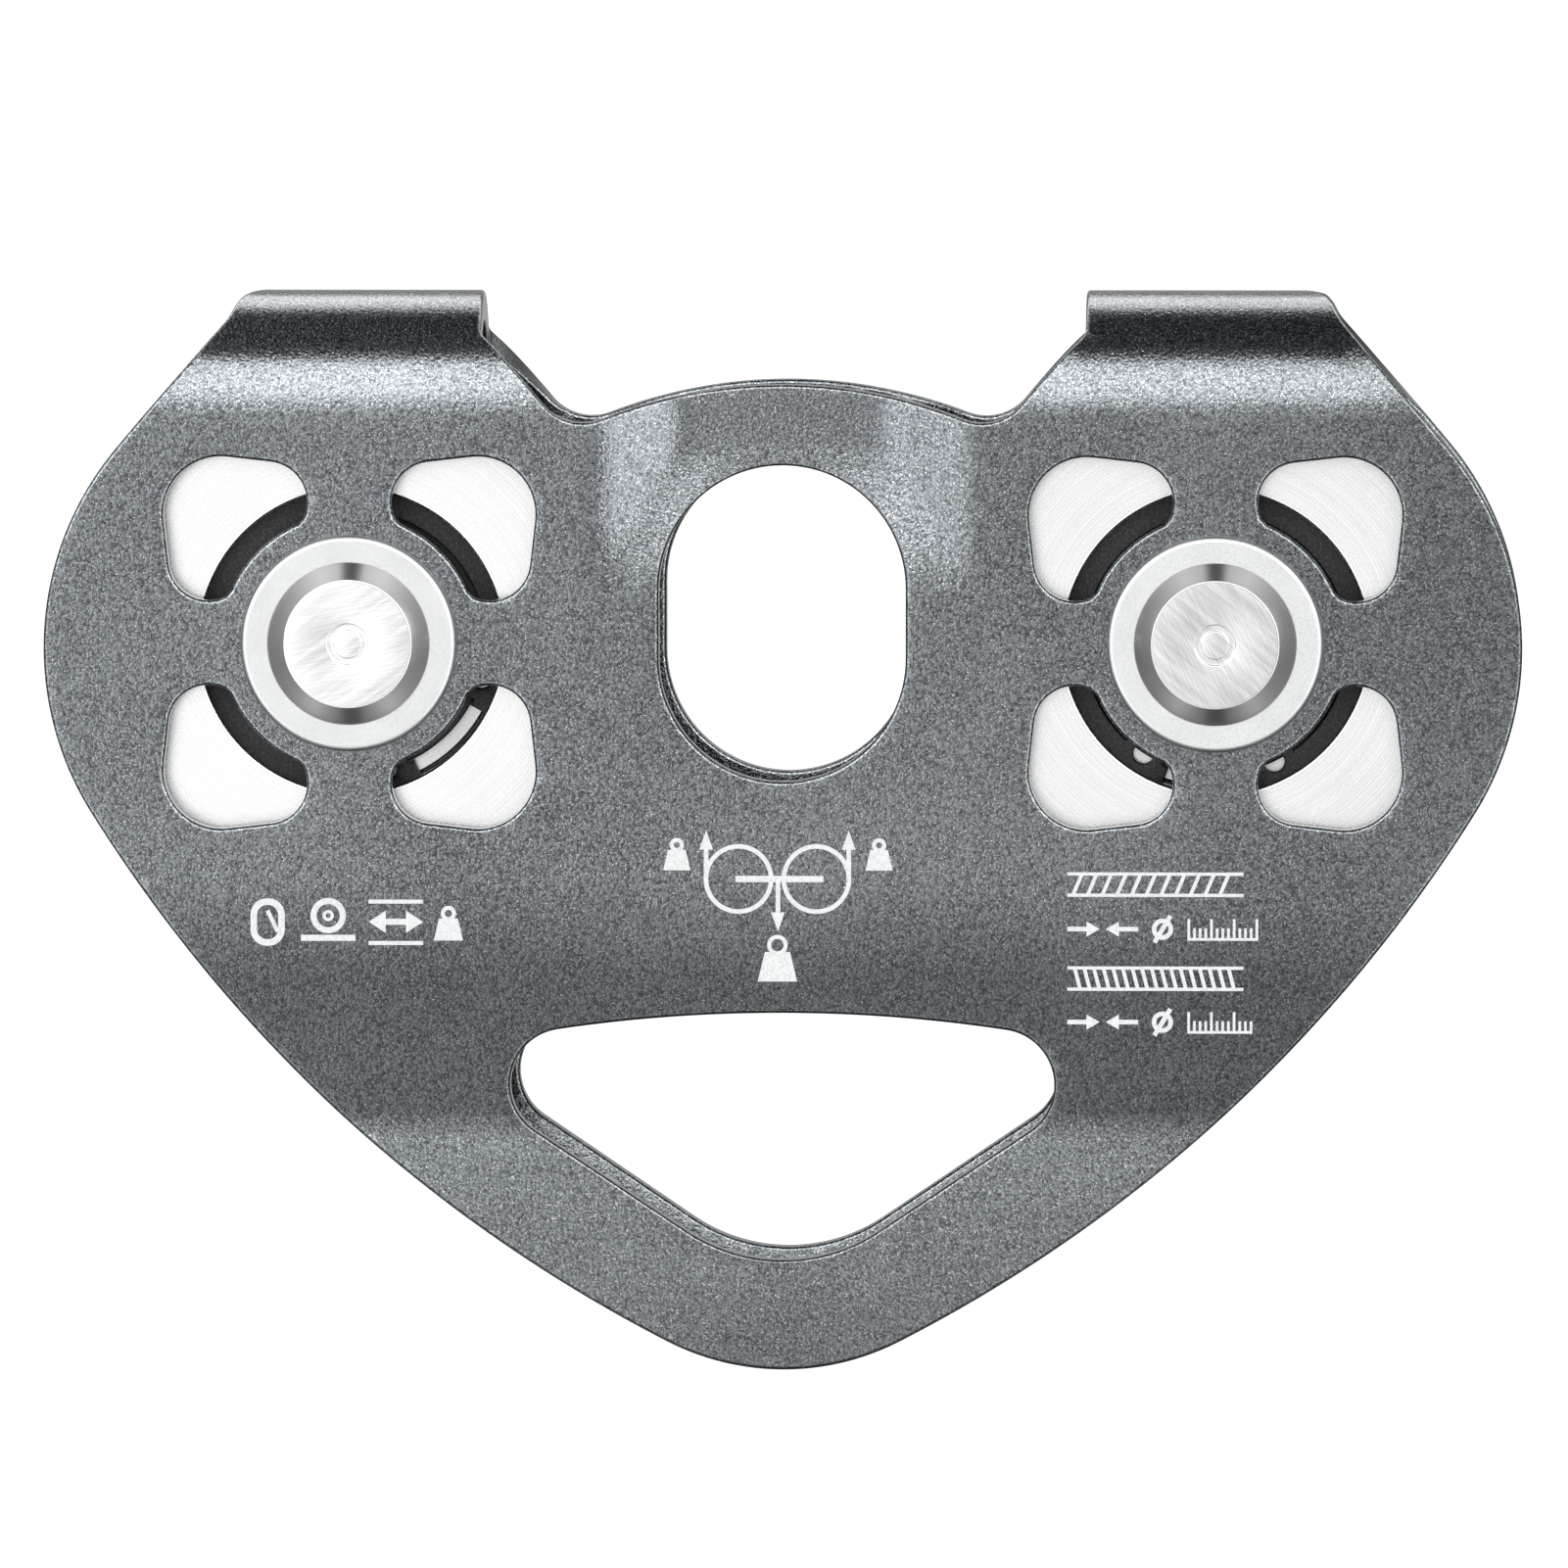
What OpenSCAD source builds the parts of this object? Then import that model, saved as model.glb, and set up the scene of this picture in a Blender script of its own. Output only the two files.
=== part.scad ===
// Tandem rope pulley: two grooved sheaves in line, inside one folded sheet body.
// X runs along the rope, Y through the axles (front is -Y), Z up.
// The origin is on the rope centreline, midway between the sheaves. Millimetres.

/* [Body sheet] */
// Thickness of the folded sheet
sheet_t = 3; // [2.8:0.1:3.2]
// Width over the two side plates
body_w = 25; // [25:0.5:26]
// Radius of the shoulder round each axle
shoulder_r = 30.8; // [29.8:0.2:31.8]
// Angle of the upper outer edges from the vertical
shoulder_lean = 40; // [38:1:42]
// Height of the top of the folded bridges
bridge_top_z = 59.6; // [59:0.2:61]
// Distance of a bridge's inner edge from the middle
bridge_inner_x = 29.9; // [29.1:0.2:31.1]
// Radius of the long side arcs
side_r = 147; // [137:5:167]
// Radius of the bottom tip
tip_r = 25; // [24:0.2:26]
// Height of the centre of the bottom tip's arc
tip_z = -22.2; // [-22.8:0.1:-21.6]
// Height of the crease where the lower lobes start to lean inwards
crease_z = -22; // [-23:0.5:-21]
// Inward lean of each lower lobe
lobe_lean = 7; // [5:0.5:8]

/* [Crown between the bridges] */
// Height of the top of the crown
crown_top_z = 50.5; // [50.1:0.1:51.1]
// Radius of the crown's arc
crown_r = 49; // [47:1:51]
// Distance of the valley bottoms from the middle
valley_x = 19.7; // [19.4:0.1:20.2]
// Radius of the valleys
valley_r = 5; // [4.5:0.1:5.2]
// Slope of the edge that climbs from a valley to a bridge
valley_slope = 48; // [46:1:50]
// Depth to which the crown is pressed in
pinch_depth = 2; // [1:0.5:2.5]

/* [Holes] */
// Width of the upper carabiner hole
upper_hole_w = 24.4; // [22:0.2:26]
// Height of the upper carabiner hole
upper_hole_h = 31.2; // [30:0.2:33]
// Height of the middle of the upper carabiner hole
upper_hole_z = 26.9; // [26:0.1:28]
// Half width between the corner centres of the lower carabiner hole
lower_corner_x = 21.4; // [20.4:0.2:22]
// Corner radius of the lower carabiner hole
lower_corner_r = 5.5; // [5:0.1:6]
// Height of the top edge of the lower carabiner hole
lower_top_z = -11.6; // [-12:0.1:-11]
// Radius of the bottom of the lower carabiner hole
lower_bottom_r = 17; // [16:0.5:18]
// Width of the spokes between the windows
spoke_w = 8.4; // [8:0.2:9]
// Distance of a window's outer corner edges from the axle
window_reach = 18.4; // [18:0.1:18.8]
// Radius of the hub disc that the windows leave
window_hub_r = 12.8; // [12.6:0.1:13]

/* [Sheaves] */
// Distance between the two axles
axle_spacing = 85.6; // [85:0.2:87]
// Largest rope diameter
rope_d = 13; // [11:0.5:13]
// Outer diameter of a sheave
sheave_d = 50; // [49:0.5:51]
// Width of a sheave
sheave_w = 17; // [16.6:0.1:17.2]
// Diameter at the bottom of the rope groove
root_d = 37; // [36.5:0.5:38]

/* [Bearings and axles] */
// Outer diameter of the ball bearing
bearing_d = 30; // [30]
// Width of the ball bearing
bearing_w = 9; // [9]
// Diameter of the axle
axle_d = 10; // [10]
// Number of balls in a bearing
ball_count = 8; // [7:1:8]
// Diameter of an axle's washer
washer_d = 21.4; // [19:0.1:22]
// Thickness of an axle's washer
washer_t = 1.5; // [1.2:0.1:1.8]
// Height of an axle's head
head_t = 1.6; // [1.4:0.1:2]

/* [Hidden] */
$fn = 96;

// Clearances: a turning fit, an assembly fit and a cut that runs past a face
fit = 0.03;
run = 0.08;
over = 1;

// Places that follow from the driving dimensions
axle_x = axle_spacing / 2;
axle_z = (root_d + rope_d) / 2;
plate_y = body_w / 2;
gap_y = plate_y - sheet_t;
bend_z = bridge_top_z - plate_y;
// A shoulder is centred a little below its axle and towards the middle
shoulder_offset = [-0.5, -0.55];
shoulder = [axle_x, axle_z] + shoulder_offset;
tip = [0, tip_z];

// A point at angle a and distance r from c
function polar(c, r, a) = [c.x + r * cos(a), c.y + r * sin(a)];
function mirrored(p) = [-p.x, p.y];

// The point ra from a and rb from b, on the left of the way from a to b
function meet(a, ra, b, rb) =
    let (d = b - a, l = norm(d), m = (l * l + ra * ra - rb * rb) / (2 * l), h = sqrt(ra * ra - m * m))
    a + d * m / l + [-d.y, d.x] * h / l;

// Direction of the outward normal of the belt line from circle a to circle b, each [x, y, r]
function belt_normal(a, b) =
    let (d = [b.x - a.x, b.y - a.y]) atan2(d.y, d.x) - acos((a[2] - b[2]) / norm(d));

// The straight stretches lie a hair inside the circles, so that line and arc cross cleanly
belt_inset = 0.01;
function belt_points(circles) = [
    for (i = [0:len(circles) - 1])
        let (a = circles[i], b = circles[(i + 1) % len(circles)], n = belt_normal(a, b))
        each [polar(a, a[2] - belt_inset, n), polar(b, b[2] - belt_inset, n)]
];

// The area inside a belt round circles given counter-clockwise
module belt(circles) {
    polygon(belt_points(circles));
    for (c = circles)
        translate([c.x, c.y])
            circle(r = c[2]);
}

// Points along an arc about c, without the first one
chord = 3.5;
turn = 9;
function arc(c, r, from, to) =
    let (sweep = abs(to - from), n = ceil(max(sweep / turn, sweep * PI / 180 * r / chord)))
    [for (i = [1:n]) polar(c, r, from + (to - from) * i / n)];

// The direction from a to b
function heading(a, b) = atan2(b.y - a.y, b.x - a.x);

// A right-hand half outline from its lowest to its highest point, closed by its mirror image
module both_halves(half) {
    polygon(concat(half, [for (i = [len(half) - 2:-1:1]) mirrored(half[i])]));
}

// ---- Outline of the body, seen from the front -------------------------------------------

side_arc = meet(tip, side_r - tip_r, shoulder, side_r - shoulder_r);
crown = [0, crown_top_z - crown_r];
valley = [valley_x, crown.y + sqrt(pow(crown_r + valley_r, 2) - valley_x * valley_x)];
valley_end = polar(valley, valley_r, valley_slope - 90);
bridge_foot = [bridge_inner_x, valley_end.y + (bridge_inner_x - valley_end.x) * tan(valley_slope)];

// The outline stops just above the bends, so that their tops stay round
outline_top_z = bridge_top_z + 0.1;
outer_corner_r = 1.5;
inner_corner_r = 1.5;
outer_corner_z = outline_top_z - outer_corner_r;
outer_corner_rise = outer_corner_z - shoulder.y;
outer_corner = [
    shoulder.x + (shoulder_r - outer_corner_r - outer_corner_rise * sin(shoulder_lean)) / cos(shoulder_lean),
    outer_corner_z
];
inner_corner = [bridge_inner_x + inner_corner_r, outline_top_z - inner_corner_r];

module outline() {
    both_halves(concat(
        [polar(tip, tip_r, -90)],
        arc(tip, tip_r, -90, heading(side_arc, tip)),
        arc(side_arc, side_r, heading(side_arc, tip), heading(side_arc, shoulder)),
        arc(shoulder, shoulder_r, heading(side_arc, shoulder), shoulder_lean),
        [polar(outer_corner, outer_corner_r, shoulder_lean)],
        arc(outer_corner, outer_corner_r, shoulder_lean, 90),
        [polar(inner_corner, inner_corner_r, 90)],
        arc(inner_corner, inner_corner_r, 90, 180),
        [bridge_foot, valley_end],
        arc(valley, valley_r, valley_slope - 90, heading(valley, crown)),
        arc(crown, crown_r, heading(crown, valley), 90)
    ));
}

// ---- Holes ------------------------------------------------------------------------------

lower_top_r = 150;
lower_top = [0, lower_top_z - lower_top_r];
lower_corner = [
    lower_corner_x,
    lower_top.y + sqrt(pow(lower_top_r - lower_corner_r, 2) - lower_corner_x * lower_corner_x)
];
lower_bottom_drop = 0.5;
lower_bottom = [0, lower_corner.y - lower_bottom_drop];
lower_side = belt_normal(
    [lower_bottom.x, lower_bottom.y, lower_bottom_r],
    [lower_corner.x, lower_corner.y, lower_corner_r]
);
upper_hole_r = upper_hole_w / 2;
upper_hole_rise = upper_hole_h / 2 - upper_hole_r;

// Distances of the window's corner centres from the axle, and the corner radii
window_corner_r = 5.7;
window_end_r = 4;
window_end_drop = 0.5;
window_corner = window_reach - window_corner_r;
window_end = [spoke_w / 2 + window_end_r, window_reach - window_end_drop - window_end_r];

module upper_hole() {
    belt([
        [0, upper_hole_z + upper_hole_rise, upper_hole_r],
        [0, upper_hole_z - upper_hole_rise, upper_hole_r]
    ]);
}

// A round bottom, two slanted sides, round corners and a top edge that is a flat arc
module lower_hole() {
    both_halves(concat(
        [polar(lower_bottom, lower_bottom_r, -90)],
        arc(lower_bottom, lower_bottom_r, -90, lower_side),
        [polar(lower_corner, lower_corner_r, lower_side)],
        arc(lower_corner, lower_corner_r, lower_side, heading(lower_top, lower_corner)),
        arc(lower_top, lower_top_r, heading(lower_top, lower_corner), 90)
    ));
}

// The window in the upper right quarter round an axle
module window() {
    difference() {
        belt([
            [window_end.y, window_end.x, window_end_r],
            [window_corner, window_corner, window_corner_r],
            [window_end.x, window_end.y, window_end_r]
        ]);
        circle(r = window_hub_r);
    }
}

module plate_holes() {
    upper_hole();
    lower_hole();
    for (side = [-1, 1])
        translate([side * axle_x, axle_z]) {
            circle(d = axle_d + 2 * fit);
            for (across = [0, 1], down = [0, 1])
                mirror([across, 0])
                    mirror([0, down])
                        window();
        }
}

// ---- Body -------------------------------------------------------------------------------

// Draws a front-view outline right through the body, from front to back
module through_y(depth = body_w + 2 * over) {
    translate([0, depth / 2, 0])
        rotate([90, 0, 0])
            linear_extrude(depth)
                children();
}

// Draws an end-view section, given in y and z, along x
module along_x(from, to) {
    translate([from, 0, 0])
        rotate([90, 0, 90])
            linear_extrude(to - from)
                children();
}

// One leg of the section: upright down to the crease, leaning inwards below it
module leg_section(top_z) {
    low_z = tip_z - tip_r - over;
    lean_y = tan(lobe_lean) * (crease_z - low_z);
    polygon([
        [-plate_y, top_z],
        [-plate_y, crease_z],
        [-plate_y + lean_y, low_z],
        [-plate_y + lean_y + sheet_t / cos(lobe_lean), low_z],
        [-gap_y, crease_z - sheet_t * tan(lobe_lean / 2)],
        [-gap_y, top_z]
    ]);
}

module both_legs(top_z) {
    leg_section(top_z);
    mirror([1, 0])
        leg_section(top_z);
}

// The half ring that joins the legs over a sheave
module bend_section() {
    translate([0, bend_z])
        difference() {
            intersection() {
                circle(r = plate_y);
                translate([-plate_y, 0])
                    square([2 * plate_y, plate_y]);
            }
            circle(r = gap_y);
        }
}

// The bends start just outside the valleys, where the sheet is still flat to 0.1 mm
flat_x = valley_end.x + 0.2;

// The wedge by which the crown is pressed in, standing on the plane y = 0 and pointing to +y
pinch_land_x = 9.5;
pinch_foot_z = 28.5;
pinch_land_z = 46;
module pinch_wedge() {
    intersection() {
        linear_extrude(crown_top_z + over)
            polygon([
                [-valley_x, 0],
                [valley_x, 0],
                [pinch_land_x, pinch_depth],
                [-pinch_land_x, pinch_depth]
            ]);
        along_x(-valley_x, valley_x)
            polygon([
                [0, pinch_foot_z],
                [0, crown_top_z + over],
                [pinch_depth, crown_top_z + over],
                [pinch_depth, pinch_land_z]
            ]);
    }
}

module on_both_plates() {
    for (side = [0, 1])
        mirror([0, side, 0])
            children();
}

module folded_section() {
    reach_x = axle_x + shoulder_r + over;
    difference() {
        union() {
            along_x(-reach_x, reach_x)
                both_legs(bend_z);
            along_x(-flat_x, flat_x)
                both_legs(crown_top_z + over);
            for (side = [0, 1])
                mirror([side, 0, 0])
                    along_x(flat_x, reach_x)
                        bend_section();
            on_both_plates()
                translate([0, -gap_y, 0])
                    pinch_wedge();
        }
        on_both_plates()
            translate([0, -plate_y, 0])
                pinch_wedge();
    }
}

module side_plates() {
    color("#6f7477")
        intersection() {
            folded_section();
            through_y()
                difference() {
                    outline();
                    plate_holes();
                }
        }
}

// ---- Parts on an axle -------------------------------------------------------------------

// Puts a part on the left (-1) or right (+1) axle, with the part's own +z to the front
module on_axle(side) {
    translate([side * axle_x, 0, axle_z])
        rotate([90, 0, 0])
            children();
}

// Turns a section given in radius and height into a ring
module turned(segments = 128) {
    rotate_extrude($fn = segments)
        children();
}

module ring_section(r_in, r_out, low, high) {
    translate([r_in, low])
        square([r_out - r_in, high - low]);
}

bearing_r = bearing_d / 2;
bearing_face = bearing_w / 2;
bore_r = axle_d / 2 + fit;
circlip_t = 1.2;
circlip_groove_r = 15.7;
groove_r = rope_d / 2 + 0.5;
rear_lip_r = 13.4;
rim_chamfer = 0.4;

module sheave(side) {
    half_w = sheave_w / 2;
    color("#d6d8da")
        on_axle(side)
            turned(160)
                difference() {
                    polygon([
                        [rear_lip_r, -half_w],
                        [sheave_d / 2 - rim_chamfer, -half_w],
                        [sheave_d / 2, -half_w + rim_chamfer],
                        [sheave_d / 2, half_w - rim_chamfer],
                        [sheave_d / 2 - rim_chamfer, half_w],
                        [bearing_r + rim_chamfer, half_w],
                        [bearing_r, half_w - rim_chamfer],
                        [bearing_r, -bearing_face],
                        [rear_lip_r, -bearing_face]
                    ]);
                    translate([root_d / 2 + groove_r, 0])
                        circle(r = groove_r);
                    ring_section(
                        bearing_r - over,
                        circlip_groove_r,
                        bearing_face,
                        bearing_face + circlip_t + fit
                    );
                }
}

// Bearing: races with a ball track, balls, a cage and a rubber seal on each side
ball_d = 4.76;
pitch_r = 10;
track_r = ball_d / 2 + run;
inner_shoulder_r = 8.4;
outer_shoulder_r = 11.6;
seal_seat_r = 13.2;
seal_seat_t = 1;
seal_t = 0.7;
seal_lip_r = 8.7;

module outer_race(side) {
    seat_z = bearing_face - seal_seat_t;
    color("#b9bcbf")
        on_axle(side)
            turned()
                difference() {
                    ring_section(outer_shoulder_r, bearing_r, -bearing_face, bearing_face);
                    translate([pitch_r, 0])
                        circle(r = track_r);
                    for (face = [0, 1])
                        mirror([0, face])
                            ring_section(outer_shoulder_r - over, seal_seat_r, seat_z, bearing_face + over);
                }
}

module inner_race(side) {
    color("#b9bcbf")
        on_axle(side)
            turned()
                difference() {
                    ring_section(bore_r, inner_shoulder_r, -bearing_face, bearing_face);
                    translate([pitch_r, 0])
                        circle(r = track_r);
                }
}

module bearing_balls(side) {
    color("#c9ccd0")
        on_axle(side)
            for (i = [0:ball_count - 1])
                rotate([0, 0, i * 360 / ball_count])
                    translate([pitch_r, 0, 0])
                        sphere(d = ball_d, $fn = 48);
}

// A crown cage: a thin ring between the races with an open pocket for each ball
cage_half_t = 0.75;
cage_back_z = -2.9;
cage_front_z = 1.2;
module ball_cage(side) {
    color("#8a7a50")
        on_axle(side)
            difference() {
                turned()
                    ring_section(pitch_r - cage_half_t, pitch_r + cage_half_t, cage_back_z, cage_front_z);
                for (i = [0:ball_count - 1])
                    rotate([0, 0, i * 360 / ball_count])
                        translate([pitch_r, 0, 0])
                            sphere(r = ball_d / 2 + run, $fn = 48);
            }
}

// A rubber seal seated in the outer race; front is +1, rear is -1
module bearing_seal(side, face) {
    seat_z = bearing_face - seal_seat_t;
    color("#1c1d1f")
        on_axle(side)
            mirror([0, 0, face > 0 ? 0 : 1])
                turned()
                    ring_section(seal_lip_r, seal_seat_r, seat_z, seat_z + seal_t);
}

// An internal retaining ring in the sheave's groove, its gap at the given angle from +x
circlip_r = 15.5;
circlip_eye_r = 1;
circlip_lug_r = 2.15;
circlip_lug_reach = 13.3;
circlip_half_gap = 17;
circlip_lug_turn = 12.3;
module circlip(side, gap_angle) {
    inner_r = 13;
    offset_r = 0.35;
    lug_angle = circlip_half_gap + circlip_lug_turn;
    color("#26272a")
        on_axle(side)
            rotate([0, 0, gap_angle])
                translate([0, 0, bearing_face])
                    linear_extrude(circlip_t)
                        difference() {
                            union() {
                                difference() {
                                    circle(r = circlip_r, $fn = 128);
                                    translate([offset_r, 0])
                                        circle(r = inner_r, $fn = 128);
                                }
                                for (end = [-1, 1])
                                    translate(polar([0, 0], circlip_lug_reach, end * lug_angle))
                                        circle(r = circlip_lug_r, $fn = 48);
                            }
                            polygon([
                                [0, 0],
                                polar([0, 0], 2 * circlip_r, -circlip_half_gap),
                                polar([0, 0], 2 * circlip_r, circlip_half_gap)
                            ]);
                            for (end = [-1, 1])
                                translate(polar([0, 0], circlip_lug_reach, end * lug_angle))
                                    circle(r = circlip_eye_r, $fn = 32);
                        }
}

// A bush between the inner race and a side plate; front is +1, rear is -1
spacer_r = 7;
module spacer(side, face) {
    color("#c4c7c9")
        on_axle(side)
            mirror([0, 0, face > 0 ? 0 : 1])
                turned()
                    ring_section(bore_r, spacer_r, bearing_face, gap_y);
}

// A washer under an axle's head, with a rounded rim
washer_rim_r = 0.6;
module washer(side, face) {
    r = washer_d / 2;
    color("#e4e6e8")
        on_axle(side)
            mirror([0, 0, face > 0 ? 0 : 1])
                translate([0, 0, plate_y])
                    turned() {
                        ring_section(bore_r, r - washer_rim_r, 0, washer_t);
                        ring_section(r - 2 * washer_rim_r, r, 0, washer_t - washer_rim_r);
                        translate([r - washer_rim_r, washer_t - washer_rim_r])
                            circle(r = washer_rim_r, $fn = 48);
                    }
}

// The axle: a pin with a turned head in front and a pressed head behind
head_base_r = 8.2;
head_top_r = 6.3;
centre_mark_r = 2.05;
centre_dot_r = 1.35;
centre_mark_t = 0.2;
module axle(side) {
    head_z = plate_y + washer_t;
    color("#eceef0")
        on_axle(side)
            difference() {
                turned()
                    polygon([
                        [0, -head_z - head_t],
                        [head_top_r, -head_z - head_t],
                        [head_base_r, -head_z],
                        [axle_d / 2, -head_z],
                        [axle_d / 2, head_z],
                        [head_base_r, head_z],
                        [head_top_r, head_z + head_t],
                        [0, head_z + head_t]
                    ]);
                translate([0, 0, head_z + head_t - centre_mark_t])
                    linear_extrude(over)
                        difference() {
                            circle(r = centre_mark_r, $fn = 64);
                            circle(r = centre_dot_r, $fn = 64);
                        }
            }
}

// Directions of the circlips' gaps, from +x, seen from the front
gap_left = -46;
gap_right = -93.5;

side_plates();
sheave(-1);  // sheave_left
sheave(1);  // sheave_right
outer_race(-1);  // outer_race_left
outer_race(1);  // outer_race_right
inner_race(-1);  // inner_race_left
inner_race(1);  // inner_race_right
bearing_balls(-1);  // bearing_balls_left
bearing_balls(1);  // bearing_balls_right
ball_cage(-1);  // ball_cage_left
ball_cage(1);  // ball_cage_right
bearing_seal(-1, 1);  // front_seal_left
bearing_seal(1, 1);  // front_seal_right
bearing_seal(-1, -1);  // rear_seal_left
bearing_seal(1, -1);  // rear_seal_right
circlip(-1, gap_left);  // circlip_left
circlip(1, gap_right);  // circlip_right
spacer(-1, 1);  // front_spacer_left
spacer(1, 1);  // front_spacer_right
spacer(-1, -1);  // rear_spacer_left
spacer(1, -1);  // rear_spacer_right
axle(-1);  // axle_left
axle(1);  // axle_right
washer(-1, 1);  // front_washer_left
washer(1, 1);  // front_washer_right
washer(-1, -1);  // rear_washer_left
washer(1, -1);  // rear_washer_right
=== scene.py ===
import math

import bmesh
import bpy
import numpy as np
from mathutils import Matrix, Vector
from mathutils.geometry import delaunay_2d_cdt


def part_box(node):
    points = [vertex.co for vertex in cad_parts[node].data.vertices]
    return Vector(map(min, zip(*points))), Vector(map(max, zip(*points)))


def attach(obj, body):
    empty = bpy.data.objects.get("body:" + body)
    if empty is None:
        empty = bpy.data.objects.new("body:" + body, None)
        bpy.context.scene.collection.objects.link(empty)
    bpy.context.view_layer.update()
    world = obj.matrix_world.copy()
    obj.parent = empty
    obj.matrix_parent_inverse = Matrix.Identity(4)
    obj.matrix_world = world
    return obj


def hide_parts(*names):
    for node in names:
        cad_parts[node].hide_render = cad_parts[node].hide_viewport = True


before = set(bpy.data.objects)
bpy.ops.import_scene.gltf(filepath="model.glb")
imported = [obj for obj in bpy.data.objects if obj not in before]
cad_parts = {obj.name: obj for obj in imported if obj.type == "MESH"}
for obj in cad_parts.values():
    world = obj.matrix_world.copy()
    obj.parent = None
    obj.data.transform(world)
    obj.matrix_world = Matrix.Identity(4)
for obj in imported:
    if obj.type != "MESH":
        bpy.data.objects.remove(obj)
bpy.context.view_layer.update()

# Looks of the tandem rope pulley. Design values are in millimetres and meshes in metres.
# X runs along the rope, -Y is the front and +Z is up, as in the CAD frame.

MM = 0.001


def box_mm(node):
    low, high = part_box(node)
    return np.array(low) / MM, np.array(high) / MM


def middle(node):
    low, high = box_mm(node)
    return (low + high) / 2


SIDES = {"left": -1, "right": 1}
FACES = {"front": -1, "rear": 1}

plates_low, plates_high = box_mm("side_plates")
AXLE = middle("axle_right")
AXLE_X, AXLE_Z = AXLE[0], AXLE[2]
HALF_W = plates_high[1]
GAP_Y = box_mm("rear_spacer_right")[1][1]
SHEET_T = HALF_W - GAP_Y
TOP_Z = plates_high[2]
LOW_Z = plates_low[2]
SHOULDER_X, SHOULDER_Z = AXLE_X - 0.5, AXLE_Z - 0.55
SHOULDER_R = plates_high[0] - SHOULDER_X


# ---- Small geometry helpers ----------------------------------------------------------------


def polar(centre, r, degrees):
    a = math.radians(degrees)
    return np.array([centre[0] + r * math.cos(a), centre[1] + r * math.sin(a)])


def heading(a, b):
    return math.degrees(math.atan2(b[1] - a[1], b[0] - a[0]))


def meet(a, ra, b, rb):
    """The point ra from a and rb from b, on the left of the way from a to b."""
    d = b - a
    length = np.linalg.norm(d)
    along = (length**2 + ra**2 - rb**2) / (2 * length)
    across = math.sqrt(ra**2 - along**2)
    return a + d / length * along + np.array([-d[1], d[0]]) / length * across


def arc(centre, r, start, end, step=0.7):
    """Points along an arc without its first one, at most step apart and at most 8 degrees apart."""
    sweep = abs(end - start)
    n = max(2, math.ceil(math.radians(sweep) * r / step), math.ceil(sweep / 8))
    return [polar(centre, r, start + (end - start) * i / n) for i in range(1, n + 1)]


def line(a, b, step=0.9):
    """Points along a straight line without its first one."""
    a, b = np.array(a, float), np.array(b, float)
    n = max(1, math.ceil(np.linalg.norm(b - a) / step))
    return [a + (b - a) * i / n for i in range(1, n + 1)]


def smoothstep(x, low, high):
    t = np.clip((x - low) / (high - low), 0, 1)
    return t * t * (3 - 2 * t)


def rounded(corners, arc_steps=6):
    """A closed outline from (x, y, fillet radius) corners, with each fillet as an arc."""
    points = []
    count = len(corners)
    for i, (x, y, r) in enumerate(corners):
        here = np.array([x, y])
        before = np.array(corners[i - 1][:2]) - here
        after = np.array(corners[(i + 1) % count][:2]) - here
        if r <= 0:
            points.append(here)
            continue
        before /= np.linalg.norm(before)
        after /= np.linalg.norm(after)
        half = math.acos(np.clip(before @ after, -1, 1)) / 2
        reach = r / math.tan(half)
        bisector = (before + after) / np.linalg.norm(before + after)
        centre = here + bisector * r / math.sin(half)
        start, end = here + before * reach - centre, here + after * reach - centre
        a0 = math.atan2(start[1], start[0])
        turn = (math.atan2(end[1], end[0]) - a0 + math.pi) % (2 * math.pi) - math.pi
        for k in range(arc_steps + 1):
            a = a0 + turn * k / arc_steps
            points.append(centre + r * np.array([math.cos(a), math.sin(a)]))
    return np.array(points)


def new_object(name, verts_mm, faces, location=(0, 0, 0)):
    """A smooth-shaded object whose mesh is given in millimetres about its location."""
    mesh = bpy.data.meshes.new(name)
    mesh.from_pydata([Vector(v) * MM for v in verts_mm], [], [list(f) for f in faces])
    mesh.validate()
    mesh.polygons.foreach_set("use_smooth", [True] * len(mesh.polygons))
    obj = bpy.data.objects.new(name, mesh)
    obj.location = Vector(location) * MM
    bpy.context.scene.collection.objects.link(obj)
    return obj


def outward(obj):
    """Turns every face of a closed mesh to the outside."""
    bm = bmesh.new()
    bm.from_mesh(obj.data)
    bmesh.ops.recalc_face_normals(bm, faces=bm.faces)
    bm.to_mesh(obj.data)
    bm.free()
    return obj


def keep_flats_flat(obj):
    """Normals follow the large faces, so that fillets don't shade the flats beside them."""
    modifier = obj.modifiers.new("normals", "WEIGHTED_NORMAL")
    modifier.weight = 100
    modifier.keep_sharp = True
    return obj


def turned(name, section, centre, segments=192):
    """Turns a closed (radius, y) section about the Y axis through centre."""
    angles = np.arange(segments) * 2 * math.pi / segments
    verts, rings = [], []
    for r, y in section:
        if r < 1e-6:
            rings.append([len(verts)] * segments)
            verts.append((0, y, 0))
            continue
        rings.append(list(range(len(verts), len(verts) + segments)))
        verts += [(r * math.cos(a), y, r * math.sin(a)) for a in angles]
    faces = []
    for i in range(len(rings)):
        a, b = rings[i], rings[(i + 1) % len(rings)]
        for k in range(segments):
            n = (k + 1) % segments
            corners = list(dict.fromkeys((a[k], a[n], b[n], b[k])))
            if len(corners) > 2:
                faces.append(corners)
    return keep_flats_flat(outward(new_object(name, verts, faces, centre)))


# ---- Sheets: an outline with holes, given a thickness and rounded rims ------------------------


def signed_area(loop):
    x, y = loop[:, 0], loop[:, 1]
    return 0.5 * float(np.sum(x * np.roll(y, -1) - np.roll(x, -1) * y))


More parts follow.
